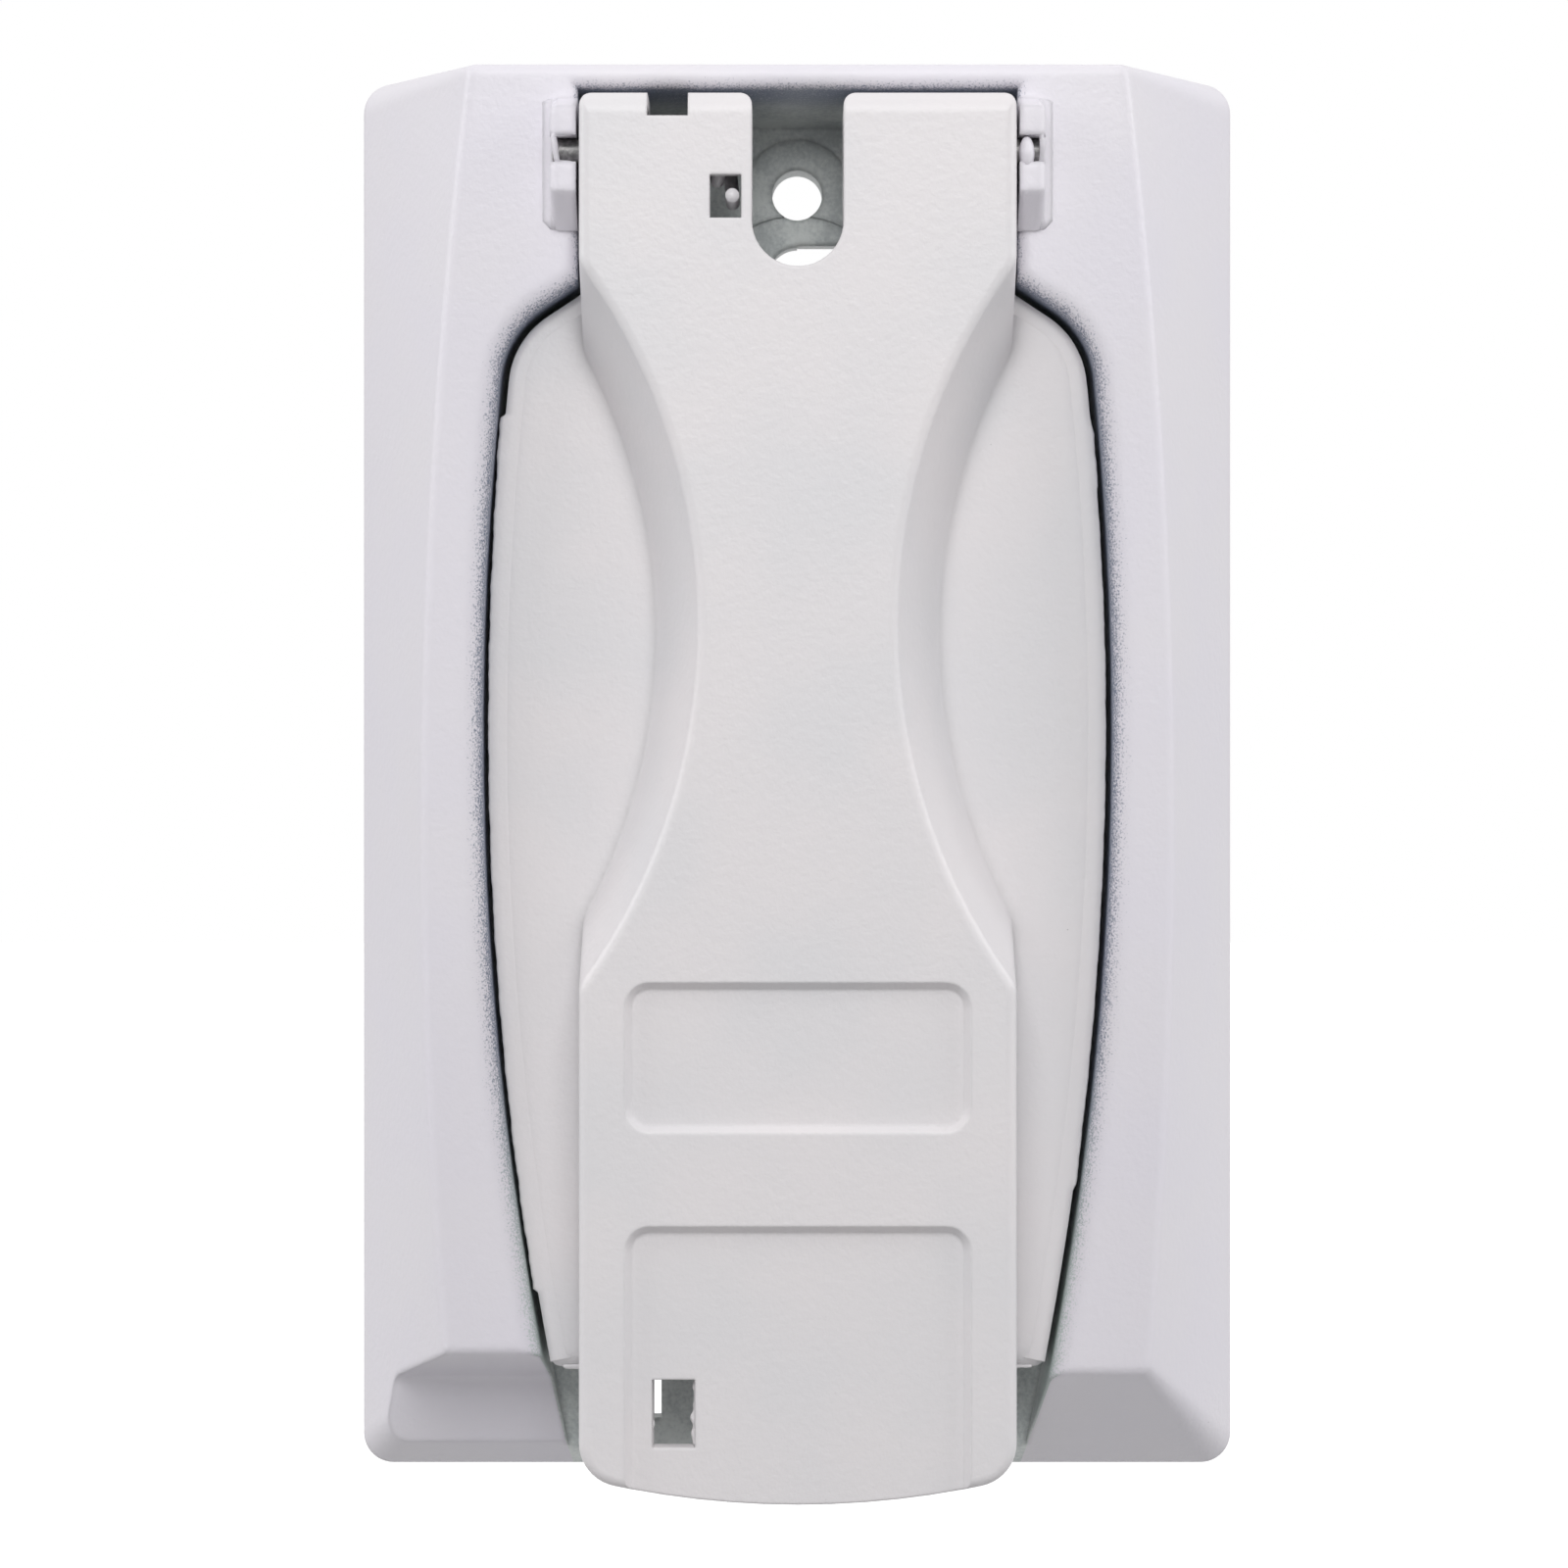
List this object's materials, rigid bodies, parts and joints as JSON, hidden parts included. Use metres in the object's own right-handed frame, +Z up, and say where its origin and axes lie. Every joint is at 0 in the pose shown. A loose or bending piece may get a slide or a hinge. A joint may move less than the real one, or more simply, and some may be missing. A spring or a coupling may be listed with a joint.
{
  "type": "weatherproof flip cover",
  "caption": "Die-cast wet-location cover for one wall box: a sloping base frame with a waisted lid on a sprung top hinge that swings up and shuts itself.",
  "frame": {"origin": "centre of the flat back face, on the wall", "axes": "+X to the right, +Y into the wall, +Z up, so the front of the cover faces -Y"},
  "size_m": [0.073, 0.025, 0.1164],
  "materials": {
    "white_paint": "satin white powder coat on die-cast zinc or aluminium",
    "pin_steel": "plain drawn wire",
    "spring_steel": "bright stainless spring wire",
    "foam": "closed-cell foam"
  },
  "bodies": {
    "base": {"base_frame": "white_paint", "hinge_pin_left": "pin_steel", "hinge_pin_right": "pin_steel", "closing_spring": "spring_steel", "box_gasket": "foam"},
    "lid": {"flip_lid": "white_paint"}
  },
  "joints": [
    {"name": "lid_hinge", "type": "hinge", "parent": "base", "child": "lid", "pos_m": [0, -0.0208, 0.04993], "axis": [-1, 0, 0], "range_deg": [0, 140], "stiffness_Nm_per_rad": 0.02, "springref_deg": -51.57, "deforming": ["closing_spring"]}
  ]
}
